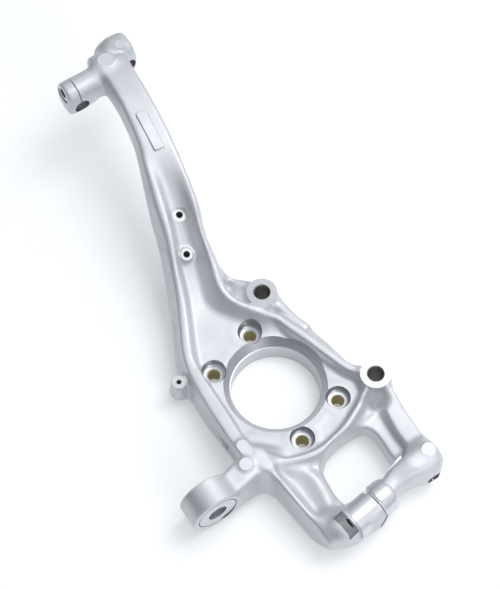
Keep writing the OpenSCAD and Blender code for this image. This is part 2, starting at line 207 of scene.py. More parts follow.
STRUT = [
    [80, -52, 38, 9, 13, 14], [78.5, -74, 36, 8.6, 13, 13], [76, -90, 35.5, 9, 14, 13],
    [75, -106, 35, 9.6, 14.5, 13.5], [74.5, -124, 35, 9, 14.5, 12.5], [75, -138, 34, 10, 14, 14]]
WINDOW_LIP = [
    [-50, -68.2, 37, 2, 8, 10], [-37, -78.7, 33.5, 2, 12, 22], [-26.5, -88, 31.5, 2, 16, 34],
    [-22.9, -100.6, 31, 2.5, 18, 40], [-24, -114.6, 31, 2.5, 20, 40], [-27, -130.3, 31, 2.5, 20, 34],
    [-29, -142, 31, 3, 16, 20]]
STEERING_ARM = [
    [-50, -60, 40, 12, 24, 20], [-66, -59, 41, 12, 22, 18], [-82, -62, 42, 12, 18, 16],
    [-98, -66, 43, 11, 14, 14], [-112, -68, 44, 10, 12, 12]]
STEERING_ARM_UNDER = 9.3

# bars, from the left pin: x, middle in y, half depth, bottom, top
UPPER_BAR_ROWS = [
    [-UPPER_EAR, 0.5, 14, -14, 21], [-UPPER_EAR + 2, 0.5, 14.6, -14.5, 21.7],
    [0, 0.5, 15, -14.5, 22], [12, 1, 14.6, -14, 21.5], [24, 2, 14, -12.5, 21],
    [43, 3, 14, -12, 21]]
NECK_END_ROWS = [[28, 11, 15, -10, 20], [35, 11, 15.5, -12, 21.5], [50, 11, 16, -13, 22]]
LOBE = UPPER_SPAN + LOBE_X
LOBE_ROWS = [
    [LOBE - 20, LOBE_Y + 2.5, 9, -7, 11], [LOBE - 12, LOBE_Y + 1.5, 14.5, -15, 18],
    [LOBE - 3, LOBE_Y, LOBE_HALF, -20, 22.5], [LOBE + 8, LOBE_Y, LOBE_HALF, -20, 22.5],
    [LOBE + 17, LOBE_Y, LOBE_HALF - 1, -19, 21.5]]
LOWER_BAR_ROWS = [
    [-58, 3, 8, -7, 13], [-52, 3, 9.5, -10, 16], [-44, 1.5, 13, -14.5, 20.5],
    [-34, 1, 14.2, -15.2, 21.6], [-25, 1, 14.2, -15.5, 20.6], [-17, -0.5, 16, -16, 20.4],
    [-9, -1.5, 17, -16.5, 20.2], [0, -1, 16.5, -16.5, 20.2], [7, 0.5, 14.8, -16, 20.2],
    [18, 1.5, 13.4, -14, 20], [29, 3.8, 12.5, -12.5, 20.5], [40, 3, 13.5, -13.5, 22.5],
    [LOWER_SPAN - 15, 2, 15, -15, 24], [LOWER_SPAN - 6, 0.5, 17, -16, 24],
    [LOWER_SPAN + 4, -0.3, 18, -16, 24], [LOWER_SPAN + 10, 0.8, 16, -15, 23.5],
    [LOWER_SPAN + 16, 2, 13, -12, 21.5]]
LOWER_BAR_POWER = 2.8

# Finishes: dark and light tone, metallic, roughness and its spread, scale and depth of the grain.
# "cast" is the blended skin; "round" looks the same, on exact shapes, which keep their sharp edges.
FINISHES = {
    "cast": ((0.64, 0.655, 0.685), (0.72, 0.735, 0.765), 0.58, 0.50, 0.06, 900, 0.0005),
    "round": ((0.64, 0.655, 0.685), (0.72, 0.735, 0.765), 0.58, 0.50, 0.06, 900, 0.0005),
    "pad": ((0.70, 0.715, 0.745), (0.78, 0.795, 0.825), 0.5, 0.50, 0.06, 900, 0.0003),
    "machined": ((0.47, 0.49, 0.53), (0.55, 0.57, 0.61), 0.9, 0.30, 0.03, 2200, 0.00004),
    "turned": ((0.70, 0.71, 0.735), (0.78, 0.79, 0.815), 0.7, 0.34, 0.03, 2200, 0.00004),
    # the bore's finish: the machined metal made lighter, painted light on the bore and its cone
    "cone": ((0.55, 0.565, 0.59), (0.63, 0.645, 0.67), 0.8, 0.36, 0.03, 2200, 0.00004),
    # near-white slit walls with little metal: a painted reflection that lights the narrow slits
    "slit_painted_reflection": ((0.86, 0.87, 0.90), (0.92, 0.93, 0.95), 0.15, 0.45, 0.06, 1500, 0.0002),
    "olive": ((0.50, 0.45, 0.25), (0.66, 0.60, 0.36), 0.2, 0.50, 0.06, 1500, 0.0002),
    # dark walls of the caliper, pinch, bracket and side holes and of the gap round the bush: painted shade
    "hole": ((0.24, 0.235, 0.22), (0.32, 0.31, 0.28), 0.7, 0.45, 0.06, 900, 0.0003),
    "steel": ((0.60, 0.615, 0.65), (0.68, 0.695, 0.73), 0.85, 0.30, 0.06, 1800, 0.0001)}
SHARP_EDGE = math.radians(30)

# studio, in metres: the paper under the part, the sky with its brightest direction, and the lamps
PAPER_HALF = 9
PAPER_TONE = (0.86, 0.87, 0.88, 1)
PAPER_GLOW = 0.26
SKY_TOP = (0.40, -0.12, 0.909)
SKY_STRENGTH = 0.93
SKY_STOPS = [
    (0.48, (0.02, 0.024, 0.03)), (0.66, (0.18, 0.20, 0.23)), (0.79, (0.60, 0.63, 0.68)),
    (0.89, (0.84, 0.86, 0.90)), (0.97, (1.0, 1.0, 1.0))]
# lamps: name, place, target, size, power
LAMPS = (
    ("key", (0.95, -0.25, 2.1), (0, 0.1, 0), 1.2, 16),
    ("front", (-0.49, -1.75, 1.1), (0, 0.05, 0), 1.0, 8))

# camera, fitted to the bore and the caliper bosses in the photo
CAMERA_PLACE = (-0.511756, -0.388704, 1.378527)
CAMERA_FORWARD = (0.371188, 0.304897, -0.877073)
CAMERA_RIGHT = (0.63473, -0.77273, 0)
SENSOR = 36
FOCAL_PIXELS = 1569.75
PHOTO_HEIGHT = 589


# curves

def spline(rows, steps):
    """Smooth curve through control rows, each a list of numbers."""
    points = np.array(rows, float)
    last = len(points) - 1
    curve = []
    for i in range(last):
        a, b, c, d = points[max(i - 1, 0)], points[i], points[i + 1], points[min(i + 2, last)]
        for step in range(steps):
            t = step / steps
            curve.append(0.5 * (2 * b + (c - a) * t + (2 * a - 5 * b + 4 * c - d) * t ** 2
                                + (3 * b - a - 3 * c + d) * t ** 3))
    return np.array(curve + [points[-1]])


def loop(points):
    """Smooth closed outline through control points."""
    p = [list(q) for q in points]
    return spline([p[-1]] + p + [p[0], p[1]], OUTLINE_STEPS)[OUTLINE_STEPS:-OUTLINE_STEPS]


# solids as signed distances: below zero inside

def smin(a, b, k):
    """The smaller of two distances, with a fillet of about k between them."""
    h = np.maximum(k - np.abs(a - b), 0) / k
    return np.minimum(a, b) - h * h * k / 4


def smax(a, b, k):
    """The larger of two distances, with a rounding of about k between them."""
    return -smin(-a, -b, k)


def up(v):
    """Values over x and y, ready to be combined with values over z."""
    return v[..., None]


def along(rows, x, y):
    """For points x, y: the offset to the right of a path, how far past its ends, and the row there."""
    path = spline(rows, CURVE_STEPS)
    nearest = np.full(x.shape, 1e9)
    offset = np.zeros(x.shape)
    past = np.zeros(x.shape)
    values = np.zeros(x.shape + (path.shape[1],))
    for i, (a, b) in enumerate(zip(path[:-1], path[1:])):
        step = b[:2] - a[:2]
        length = np.hypot(*step)
        share = ((x - a[0]) * step[0] + (y - a[1]) * step[1]) / length ** 2
        inside = np.clip(share, 0, 1)
        distance = np.hypot(x - a[0] - inside * step[0], y - a[1] - inside * step[1])
        near = distance < nearest
        nearest = np.where(near, distance, nearest)
        offset = np.where(near, ((x - a[0]) * step[1] - (y - a[1]) * step[0]) / length, offset)
        end = (share < 0) & (i == 0) | (share > 1) & (i == len(path) - 2)
        past = np.where(near, np.where(end, np.abs(share - inside) * length, 0), past)
        values[near] = (a + (b - a) * inside[..., None])[near]
    return offset, past, values


def outline_distance(points, x, y):
    """Signed distance from a closed outline, below zero inside."""
    nearest = np.full(x.shape, 1e9)
    inside = np.zeros(x.shape, bool)
    for a, b in zip(points, np.roll(points, -1, 0)):
        side = b - a
        share = ((x - a[0]) * side[0] + (y - a[1]) * side[1]) / max(side @ side, 1e-9)
        share = np.clip(share, 0, 1)
        nearest = np.minimum(nearest, np.hypot(x - a[0] - share * side[0], y - a[1] - share * side[1]))
        if a[1] != b[1]:
            crossing = side[0] * (y - a[1]) / side[1] + a[0]
            inside ^= ((a[1] > y) != (b[1] > y)) & (x < crossing)
    return np.where(inside, -nearest, nearest)


class Forging:
    """A grid of signed distances that pieces are blended into, in the pivot axes and millimetres."""

    def __init__(self):
        self.axes = [np.arange(lo, hi, GRID) for lo, hi in zip(GRID_LOW, GRID_HIGH)]
        self.field = np.full([len(a) for a in self.axes], FAR)

    def blend(self, shape, x_range, y_range, k, cut=False):
        """Joins a shape with a fillet of about k, or cuts it out, within a range of x and y."""
        i, j = [slice(*np.searchsorted(a, r)) for a, r in zip(self.axes, (x_range, y_range))]
        x, y = np.meshgrid(self.axes[0][i], self.axes[1][j], indexing="ij")
        s = shape(x, y, self.axes[2][None, None, :])
        here = self.field[i, j]
        self.field[i, j] = smax(here, -s, k) if cut else smin(here, s, k)

    def mesh(self, name):
        """The surface where the distance is zero, turned into the frame and scaled to metres."""
        grid = openvdb.FloatGrid(FAR)
        grid.copyFromArray(np.clip(self.field, -FAR, FAR).astype(np.float32))
        points, quads = grid.convertToQuads(0.0)
        p = points * GRID + np.array(GRID_LOW)
        c, s = math.cos(PIVOT_TURN), math.sin(PIVOT_TURN)
        placed = np.stack([p[:, 0] * c + p[:, 1] * s, p[:, 1] * c - p[:, 0] * s, p[:, 2]], 1) * MM
        mesh = bpy.data.meshes.new(name)
        mesh.from_pydata(placed.tolist(), [], quads.tolist())
        mesh.update()
        return mesh


def around(x, y, reach):
    """The ranges of x and y within reach of a place."""
    return (x - reach, x + reach), (y - reach, y + reach)


def seat_place(x, y):
    """A point of the bearing axes in the pivot axes."""
    c, s = math.cos(PIVOT_TURN), math.sin(PIVOT_TURN)
    return x * c - y * s, x * s + y * c


# forged shapes

# how fast a shape falls off past the ends of its path, and the drafts of its sides
END_FALL = 0.8
DRAFT = 0.08
DRAFT_FROM = 8
WINDOW_DRAFT = 0.06
PARTING_Z = 16


def rib(rows, base, k=4.0):
    """A ridge along rows, with its crest rounded by k."""
    def shape(x, y, z):
        offset, past, v = along(rows, x, y)
        crest, half, left, right = (up(v[..., n]) for n in (2, 3, 4, 5))
        rise = crest - base
        s = z - crest
        for e, foot in ((up(offset), right), (-up(offset), left)):
            s = smax(s, ((e - half) * rise + (z - crest) * (foot - half)) / np.hypot(rise, foot - half), k)
        return smax(s + END_FALL * up(past), base - z, 3)
    return shape


def slab(points, low, high):
    """A plate over an outline, with a draft on its sides."""
    def shape(x, y, z):
        side = up(outline_distance(loop(points), x, y)) + DRAFT * (z - (low + DRAFT_FROM))
        return smax(smax(side, z - high, 4), low - z, 3)
    return shape


def cone(x0, y0, r0, r1, low, high, k=2.0):
    """A round boss from radius r0 at the bottom to r1 at the top."""
    def shape(x, y, z):
        r = r0 + (r1 - r0) * (z - low) / (high - low)
        return smax(smax(up(np.hypot(x - x0, y - y0)) - r, z - high, k), low - z, k)
    return shape


def round_boss(origin, axis, low_r, high_r, length, k):
    """A boss that ends at origin, with its axis pointing out of it."""
    outward = np.array(axis) / np.linalg.norm(axis)

    def shape(x, y, z):
        place = [up(x) - origin[0], up(y) - origin[1], z - origin[2]]
        h = sum(a * b for a, b in zip(place, outward))
        r = np.sqrt(np.maximum(sum(a * a for a in place) - h * h, 0))
        return smax(smax(r - high_r + (high_r - low_r) * (-h / length), h, k), -h - length, k)
    return shape


def bar(origin, turn, rows, k=4.0, power=2.4):
    """A bar along a turned x axis. A higher power makes its section squarer."""
    path = spline(rows, CURVE_STEPS)

    def shape(x, y, z):
        u = (x - origin[0]) * math.cos(turn) + (y - origin[1]) * math.sin(turn)
        v = (y - origin[1]) * math.cos(turn) - (x - origin[0]) * math.sin(turn)
        middle, half, low, high = (up(np.interp(u, path[:, 0], path[:, n])) for n in (1, 2, 3, 4))
        centre, rise = (low + high) / 2, (high - low) / 2
        across = np.abs((up(v) - middle) / half) ** power
        upward = np.abs((z - origin[2] - centre) / rise) ** power
        section = (across + upward) ** (1 / power)
        ends = np.maximum(path[0, 0] - u, u - path[-1, 0])
        return smax((section - 1) * np.minimum(half, rise), up(ends), k)
    return shape


def neck(x, y, z):
    """The goose neck: a bar with sloping sides and a channel along its top."""
    offset, past, v = along(NECK, x, y)
    crest, half_left, half_right, depth, channel = (up(v[..., n]) for n in range(2, 7))
    slope_left, slope_right, edge_left, edge_right, right_wall = (up(v[..., n]) for n in range(7, 12))
    path = spline(NECK, CURVE_STEPS)
    run = np.hypot(np.gradient(path[:, 0]), np.gradient(path[:, 1]))
    level = np.interp(v[..., 1], path[:, 1], np.cos(np.arctan2(np.gradient(path[:, 2]), run)))
    u = (z - crest) * up(level)
    drop = depth / 2
    outer = u
    groove = -(u + channel)
    sides = ((up(offset), half_right, slope_right, edge_right, right_wall),
             (-up(offset), half_left, slope_left, edge_left, LEFT_WALL))
    for e, half, slope, edge, wall in sides:
        upper = ((e - half + slope) * drop + (u + NECK_SHOULDER) * slope) / np.hypot(drop, slope)
        lower = ((e - half) * drop - (u + drop) * NECK_LEAN) / np.hypot(drop, NECK_LEAN)
        outer = smax(smax(outer, upper, NECK_FILLET), lower, NECK_FILLET)
        flank = ((e - edge) * channel - u * wall) / np.hypot(channel + 0.01, wall)
        groove = smax(groove, flank, NECK_FILLET)
    outer = smax(outer + END_FALL * up(past), -depth - u, 5)
    return smax(outer, -groove, np.clip(3 * channel, 0.3, 3))


def window(x, y, z):
    """The window between lower body and strut, wider away from the parting plane."""
    return up(outline_distance(loop(WINDOW), x, y)) - WINDOW_DRAFT * np.abs(z - PARTING_Z)


def eye(x, y, z):
    """The steering eye along y, a little smaller than the exact one that is joined to it later."""
    return smax(np.hypot(up(x) - EYE[0], z - EYE[2]) - EYE_R + 0.6,
                up(np.abs(y - EYE[1] - EYE_LEN / 2)) - EYE_LEN / 2 + 1, 2.5)


def make_forging():
    """Blends all forged shapes: each with the ranges of x and y that it touches, and its fillet."""
    f = Forging()
    f.blend(slab(PLATE, UNDER_Z, PLATE_Z), (-90, 106), (-110, 150), 4)
    f.blend(slab(LOWER_BODY, UNDER_Z + 0.6, 26), (-90, 30), (-182, -10), 6)
    f.blend(slab(STRUT_SIDE, UNDER_Z + 1.3, 24.5), (10, 106), (-160, -30), 4)
    for sx in (-1, 1):
        for sy in (-1, 1):
            px, py = seat_place(sx * BOLT_X, sy * BOLT_Y)
            f.blend(cone(px, py, HEAD_R + 5, HEAD_R + 4, 0, PLATE_Z - 1), *around(px, py, 28), 4)
    f.blend(cone(0, 0, RING_R, RING_R, 0, PLATE_Z - 1), *around(0, 0, 70), 3)
    f.blend(neck, (-100, 80), (20, 370), 8)
    f.blend(rib(LEFT_EDGE, UNDER_Z, 2.5), (-110, 10), (-180, 180), 4)
    f.blend(rib(ARC_UNDER_PLATE, UNDER_Z, 2.5), (-100, 106), (-110, -10), 4)
    f.blend(rib(RIGHT_EDGE, UNDER_Z, 2.5), (-20, 106), (-60, 175), 5)
    # a lip and two webs join the upper caliper boss to the neck and the right edge
    f.blend(rib(CALIPER_LIP, UNDER_Z, 3), (-10, 70), (80, 150), 7)
    f.blend(cone(29, 98, 13, 9, 8, 33, 6), (5, 60), (60, 125), 9)
    f.blend(rib(CALIPER_WEB, UNDER_Z, 4), (10, 90), (10, 110), 7)
    f.blend(rib(STRUT, UNDER_Z, 2.5), (40, 106), (-170, -20), 4)
    f.blend(rib(WINDOW_LIP, UNDER_Z, 6), (-52, 20), (-170, -40), 5)
    f.blend(rib(STEERING_ARM, STEERING_ARM_UNDER), (-140, -10), (-110, -20), 8)
    for s in (-1, 1):
        px, py = seat_place(CALIPER_X, s * CALIPER_Y)
        boss = cone(px, py, CALIPER_FACE_R + 4, CALIPER_FACE_R - 0.8, UNDER_Z + 2, CALIPER_Z - 1, 1.5)
        f.blend(boss, *around(px, py, 35), 7)
    upper_head(f)
    lower_head(f)
    small_bosses(f)
    f.blend(eye, (-152, -80), (-100, -30), 5)
    # deep hollow between the lower caliper boss, the arc and the strut
    f.blend(cone(68.5, -66.5, 1, 13, 15, 41, 2), (34, 98), (-104, -38), 7, cut=True)
    f.blend(window, (-30, 62), (-150, -66), 4, cut=True)
    return f


def upper_head(f):
    """The upper clamps: a bar with the left one, the end of the neck over it, and the round right one."""
    f.blend(bar(UPPER, 0, UPPER_BAR_ROWS, 3), (-60, 60), (315, 384), 6)
    f.blend(bar(UPPER, 0, NECK_END_ROWS), (0, 80), (320, 384), 8)
    f.blend(bar(UPPER, 0, LOBE_ROWS, 6), (0, 106), (320, 384), 5)
    for px, py, r, _ in UPPER_PADS:
        pad = cone(px, py, r + 3, r - 0.6, UPPER[2] + 12, UPPER[2] + 22, 1)
        f.blend(pad, *around(px, py, 20), 3)


def lower_head(f):
    """The lower clamps in one bar, and the full corner between the left edge and the end of the bar."""
    f.blend(bar(LOWER, LOWER_TURN, LOWER_BAR_ROWS, power=LOWER_BAR_POWER), (-80, 106), (-182, -110), 7)
    f.blend(cone(-36, -142, 12, 8.5, 6, 35.5, 6), (-75, 0), (-182, -110), 10)


def bracket_axes():
    """The outward normal of the two bracket bosses, and their places, in the pivot axes."""
    t = BRACKET_TILT
    normal = np.array([0, -math.sin(t), math.cos(t)])
    away = np.array([math.sin(BRACKET_TURN), math.cos(BRACKET_TURN) * math.cos(t),
                     math.cos(BRACKET_TURN) * math.sin(t)])
    return normal, [np.array(BRACKET) + s * BRACKET_SPAN / 2 * away for s in (-1, 1)]


def small_bosses(f):
    """The bracket bosses, the side boss and the pads, a little smaller than the exact ones."""
    normal, places = bracket_axes()
    for p in places:
        f.blend(round_boss(p - normal, normal, SMALL_R + 3, SMALL_R, 10, 1), *around(p[0], p[1], 25), 3)
    x, y, z = SIDE_BOSS
    f.blend(cone(x, y, 10, 7.4, 8, z - 1, 1), *around(x, y, 25), 6)
    for x, y, z, r in FLAT_PADS:
        f.blend(cone(x, y, r + 3, r - 0.4, z - 10, z - 0.8, 1), *around(x, y, 25), 5)


# exact shapes

def shift(x, y, z):
    """A move in millimetres."""
    return Matrix.Translation((x * MM, y * MM, z * MM))


PIVOT = Matrix.Rotation(-PIVOT_TURN, 4, "Z")
UPPER_BAR = PIVOT @ shift(*UPPER)
LOWER_BAR = PIVOT @ shift(*LOWER) @ Matrix.Rotation(LOWER_TURN, 4, "Z")
ALONG_X = Matrix.Rotation(math.radians(90), 4, "Y")
ALONG_Y = Matrix.Rotation(math.radians(-90), 4, "X")
EYE_AXIS = PIVOT @ shift(*EYE) @ ALONG_Y


def placed_mesh(name, bm, place):
    mesh = bpy.data.meshes.new(name)
    bm.to_mesh(mesh)
    bm.free()
    mesh.transform(place)
    return mesh


def stacked(name, rings, place):
    """A closed mesh from rings of as many points each, bottom to top."""
    bm = bmesh.new()
    rings = [[bm.verts.new([v * MM for v in point]) for point in ring] for ring in rings]
    for lower, upper in zip(rings, rings[1:]):
        for n in range(len(lower)):
            m = (n + 1) % len(lower)
            bm.faces.new((lower[n], lower[m], upper[m], upper[n]))
    bm.faces.new(list(reversed(rings[0])))
    bm.faces.new(rings[-1])
    return placed_mesh(name, bm, place)


def turned(name, profile, place, segments=96):
    """A shape turned about its own z axis from [radius, height] pairs, bottom to top."""
    turns = [2 * math.pi * n / segments for n in range(segments)]
    return stacked(name, [[(r * math.cos(a), r * math.sin(a), h) for a in turns] for r, h in profile], place)


def rod(name, radius, low, high, place):
    """A plain cylinder about its own z axis."""
    return turned(name, [[radius, low], [radius, high]], place)


def rounded_plate(name, width, length, corner, height, edge, place):
    """A plate with rounded corners and a bevelled top edge, from z = -height to 0."""
    def ring(inset, z):
        r = corner - inset
        out = []
        for cx, cy, start in ((1, 1, 0), (-1, 1, 90), (-1, -1, 180), (1, -1, 270)):
            for n in range(7):
                a = math.radians(start + 15 * n)
                out.append((cx * (width / 2 - corner) + r * math.cos(a),
                            cy * (length / 2 - corner) + r * math.sin(a), z))
        return out
    return stacked(name, [ring(0, -height), ring(0, -edge), ring(edge, 0)], place)


def block(name, low, high, place):
    """A box between two corners."""
    bm = bmesh.new()
    bmesh.ops.create_cube(bm, size=1)
    for v in bm.verts:
        v.co = [(lo if c < 0 else hi) * MM for c, lo, hi in zip(v.co, low, high)]
    return placed_mesh(name, bm, place)


def bracket_places():
    """Where the two bracket bosses end, each with z along its axis."""
    tilt = Matrix.Rotation(BRACKET_TILT, 4, "X")
    return [PIVOT @ shift(*p) @ tilt for p in bracket_axes()[1]]


def raised():
    """Pairs of an exact raised shape and its finish, joined to the forging."""
    shapes = []
    for s in (-1, 1):
        at = shift(CALIPER_X, s * CALIPER_Y, 0)
        shapes.append((rod("boss", CALIPER_FACE_R, 24, CALIPER_Z + 2, at), "round"))
    for at in bracket_places():
        profile = [[SMALL_R + 0.6, -9], [SMALL_R + 0.4, -1], [SMALL_R - 0.6, 0]]
        shapes.append((turned("bracket", profile, at), "round"))
    x, y, z = SIDE_BOSS
    profile = [[7.7, 16], [7.5, z - 0.8], [6.9, z]]
    shapes.append((turned("side", profile, PIVOT @ shift(x, y, 0)), "round"))
    for x, y, z, r in FLAT_PADS:
        shapes.append((rod("pad", r, z - 8, z + 2, PIVOT @ shift(x, y, 0)), "round"))
    for x, y, r, _ in UPPER_PADS:
        shapes.append((rod("pad", r, UPPER[2] + 10, UPPER[2] + 24, PIVOT @ shift(x, y, 0)), "round"))
    profile = [[EYE_R - EYE_EDGE, 0], [EYE_R, EYE_EDGE], [EYE_R, EYE_LEN - EYE_EDGE],
               [EYE_R - EYE_EDGE, EYE_LEN]]
    shapes.append((turned("eye", profile, EYE_AXIS, 128), "round"))
    return shapes + raised_barrel() + raised_plates()


def raised_barrel():
    """The turned barrel of the left lower clamp, in two parts with a groove between them."""
    at = LOWER_BAR @ shift(0, BARREL_Y, BARREL_Z) @ ALONG_X
    side = BARREL_GROOVE / 2
    profile = [[BARREL_R, side], [BARREL_R, 14], [BARREL_R - 0.7, 17.5], [BARREL_R - 2.4, 20.4]]
    return [(rod("barrel", BARREL_R, -28, -side, at), "turned"),
            (turned("barrel", profile, at), "turned")]


def raised_plates():
    """The plate on the neck and the pad on the outer wall."""
    plate = PIVOT @ shift(*PLATE_PAD) @ Matrix.Rotation(PLATE_PAD_TURN, 4, "Z")
    plate = plate @ Matrix.Rotation(PLATE_PAD_TILT, 4, "X")
    wall = PIVOT @ shift(*WALL_PAD) @ Matrix.Rotation(WALL_PAD_TURN, 4, "Z")
    wall = wall @ Matrix.Rotation(math.radians(-90), 4, "Y")
    return [(rounded_plate("plate", 11.8, 44, 2.4, 3, 0.9, plate), "round"),
            (rounded_plate("wall_pad", 9, 25, 4.4, 3.4, 0.8, wall), "round")]


def cutters():
    """Pairs of a cutter and the finish of the faces that it leaves."""
    return plate_cuts() + caliper_cuts() + clamp_cuts() + small_cuts() + eye_cuts()


def plate_cuts():
    """The pilot bore with its cone, and four bolt holes with counterbores that have a filleted floor."""
    bore = [[BORE_R, -OVER], [BORE_R, RIM_Z], [BORE_R + 1.2, RIM_Z + 0.4], [CONE_R, RIM_Z + CONE_H],
            [CONE_R + 0.5, RIM_Z + CLEAR]]
    bolt = [[BOLT_R, -OVER], [BOLT_R, RIM_Z - 0.6], [BOLT_R + 1, RIM_Z + 0.4], [BOLT_R + 1, RIM_Z + 2]]
    turns = [math.radians(15 * n) for n in range(7)]
    head = [[HEAD_R - HEAD_FILLET + HEAD_FILLET * math.sin(a),
             RIM_Z + HEAD_FILLET - HEAD_FILLET * math.cos(a)] for a in turns]
    head.append([HEAD_R, RIM_Z + CLEAR])
    # the bore and its cone take the machined metal made lighter, painted light
    cuts = [(turned("bore", bore, Matrix()), "cone")]
    for sx in (-1, 1):
        for sy in (-1, 1):
            at = shift(sx * BOLT_X, sy * BOLT_Y, 0)
            cuts.append((turned("bolt", bolt, at), "olive"))
            cuts.append((turned("head", head, at), "machined"))
    return cuts


def caliper_cuts():
    """The faces and holes of the two caliper bosses."""
    hole = [[CALIPER_R, -OVER], [CALIPER_R, CALIPER_Z - 1], [CALIPER_R + 1.2, CALIPER_Z + 0.2],
            [CALIPER_R + 1.2, CALIPER_Z + 3]]
    cuts = []
    for s in (-1, 1):
        at = shift(CALIPER_X, s * CALIPER_Y, 0)
        cuts.append((rod("caliper", CALIPER_FACE_R + 3, CALIPER_Z, CALIPER_Z + 12, at), "machined"))
        # the caliper hole's wall is painted dark, as shade
        cuts.append((turned("caliper_hole", hole, at), "hole"))
    return cuts


def pin_cut(place, y0, y1, low=0, high=50):
    """A pin bore and its slit, which runs from low to high, measured up from the pin's axis."""
    slit = block("slit", (-SLIT / 2, y0 - 2, low), (SLIT / 2, y1 + 2, high), place)
    # the slit's walls take the near-white finish, a painted reflection
    return [(rod("pin", PIN_R, y0, y1, place @ ALONG_Y), "machined"), (slit, "slit_painted_reflection")]


def clamp_cuts():
    """Pin bores, slits, pinch bolts with their seats, and the flats of the two bars."""
    far = UPPER_BAR @ shift(UPPER_SPAN, 0, 0)
    right = LOWER_BAR @ shift(LOWER_SPAN, 0, 0)
    left_bolt = UPPER_BAR @ shift(0, UPPER_BOLT_Y, PINCH_GAP) @ ALONG_X
    far_bolt = far @ shift(0, LOBE_Y, -PINCH_GAP) @ ALONG_X
    low_bolt = LOWER_BAR @ shift(0, 0, PINCH_GAP) @ ALONG_X
    lobe_face = LOBE_X + 16
    end = LOWER_SPAN + LOWER_EAR
    pocket = LOWER_SEAT - POCKET_W
    pocket_top = (pocket, -POCKET_R, PINCH_GAP), (LOWER_SEAT, POCKET_R, 50)
    flat_left = (-18, 13.5, -12), (6, 26, 48)
    flat_right = (LOWER_SPAN - 36, 12.5, 5), (LOWER_SPAN - 10, 22, 48)
    below_floor = (-200, -200, -60), (200, 400, 0)
    cuts = pin_cut(UPPER_BAR, -PIN_REACH, PIN_REACH)
    cuts += pin_cut(far, LOBE_Y - LOBE_HALF - 3, LOBE_Y + LOBE_HALF + 10, *SLIT_DOWN)
    cuts += pin_cut(LOWER_BAR, -PIN_REACH, PIN_OUT)
    cuts += pin_cut(right, -PIN_REACH, PIN_OUT, *SLIT_DOWN)
    cuts += [
        # the pinch bolt holes are painted dark, as shade
        (rod("left_bolt", PINCH_R, -UPPER_EAR - 9, UPPER_BOLT_END, left_bolt), "hole"),
        (rod("left_face", SEAT_R, -UPPER_EAR - 11, -UPPER_EAR + 1, left_bolt), "machined"),
        (rod("far_bolt", PINCH_R, -12, UPPER_BOLT_END, far_bolt), "hole"),
        (rod("far_face", SEAT_R, lobe_face, CLEAR, far_bolt), "machined"),
        (rod("low_bolt", PINCH_R, LOWER_SEAT - 1, end + 20, low_bolt), "hole"),
        (rod("low_face", SEAT_R, end, end + 20, low_bolt), "machined"),
        (rod("pocket", POCKET_R, pocket, LOWER_SEAT, low_bolt), "turned"),
        (block("pocket_top", *pocket_top, LOWER_BAR), "turned"),
        (block("below", *below_floor, PIVOT), "machined"),
        (block("flat_left", *flat_left, LOWER_BAR), "machined"),
        (block("flat_right", *flat_right, LOWER_BAR), "machined")]
    return cuts


def small_cuts():
    """Faces and holes of the bracket bosses and the side boss, and the flats of the pads."""
    cuts = []
    r = BRACKET_HOLE_R
    for at in bracket_places():
        cuts.append((rod("bracket_face", SMALL_R + 0.3, 0, 14, at), "pad"))
        hole = [[r, -14], [r, -0.8], [r + 0.7, 0.2], [r + 0.7, 1]]
        # the bracket hole is painted dark, as shade
        cuts.append((turned("bracket_hole", hole, at), "hole"))
    x, y, z = SIDE_BOSS
    r = SIDE_HOLE_R
    hole = [[r, -OVER], [r, z - 0.5], [r + 0.6, z + 0.1], [r + 0.6, z + 1]]
    cuts.append((rod("side_face", 9, z, z + 8, PIVOT @ shift(x, y, 0)), "pad"))
    # the side hole is painted dark, as shade
    cuts.append((turned("side_hole", hole, PIVOT @ shift(x, y, 0)), "hole"))
    for x, y, z, r in FLAT_PADS:
        cuts.append((rod("pad", r + 2.5, z, z + 8, PIVOT @ shift(x, y, 0)), "pad"))
    for x, y, _, flat in UPPER_PADS:
        top = UPPER[2] + UPPER_PAD_Z
        cuts.append((rod("pad", flat, top, UPPER[2] + 30, PIVOT @ shift(x, y, 0)), "pad"))
    return cuts


def eye_cuts():
    """The bush seat, with a narrow gap round the bush at both faces."""
    cuts = [(rod("bush_seat", BUSH_R, -OVER, EYE_LEN + OVER, EYE_AXIS), "machined")]
    for low, high in ((-3, BUSH_GAP_DEPTH), (EYE_LEN - BUSH_GAP_DEPTH, EYE_LEN + 3)):
        # the gap round the bush is painted dark, as shade
        cuts.append((rod("bush_gap", BUSH_R + BUSH_GAP, low, high, EYE_AXIS), "hole"))
    return cuts


def combine(body, mesh, finish, operation):
    """Joins or cuts an exact shape, whose faces keep their own finish."""
    mesh.materials.append(bpy.data.materials[finish])
    tool = bpy.data.objects.new("tool", mesh)
    bpy.context.scene.collection.objects.link(tool)
    mod = body.modifiers.new("combine", "BOOLEAN")
    mod.operation = operation
    mod.solver = "MANIFOLD"
    mod.object = tool
    mod.material_mode = "TRANSFER"
    bpy.context.view_layer.update()
    done = bpy.data.meshes.new_from_object(body.evaluated_get(bpy.context.evaluated_depsgraph_get()))
    body.modifiers.clear()
    body.data = done
    bpy.data.objects.remove(tool)


def mark_edges(mesh):
    """Smooth faces, sharp where two finishes meet or an exact face turns a corner."""
    forged = [n for n, m in enumerate(mesh.materials) if m.name == "cast"]
    mesh.shade_smooth()
    bm = bmesh.new()
    bm.from_mesh(mesh)
    for e in bm.edges:
        if len(e.link_faces) == 2:
            a, b = (f.material_index for f in e.link_faces)
            e.smooth = a in forged and b in forged or a == b and e.calc_face_angle(0) < SHARP_EDGE
    bm.to_mesh(mesh)
    bm.free()


# finishes

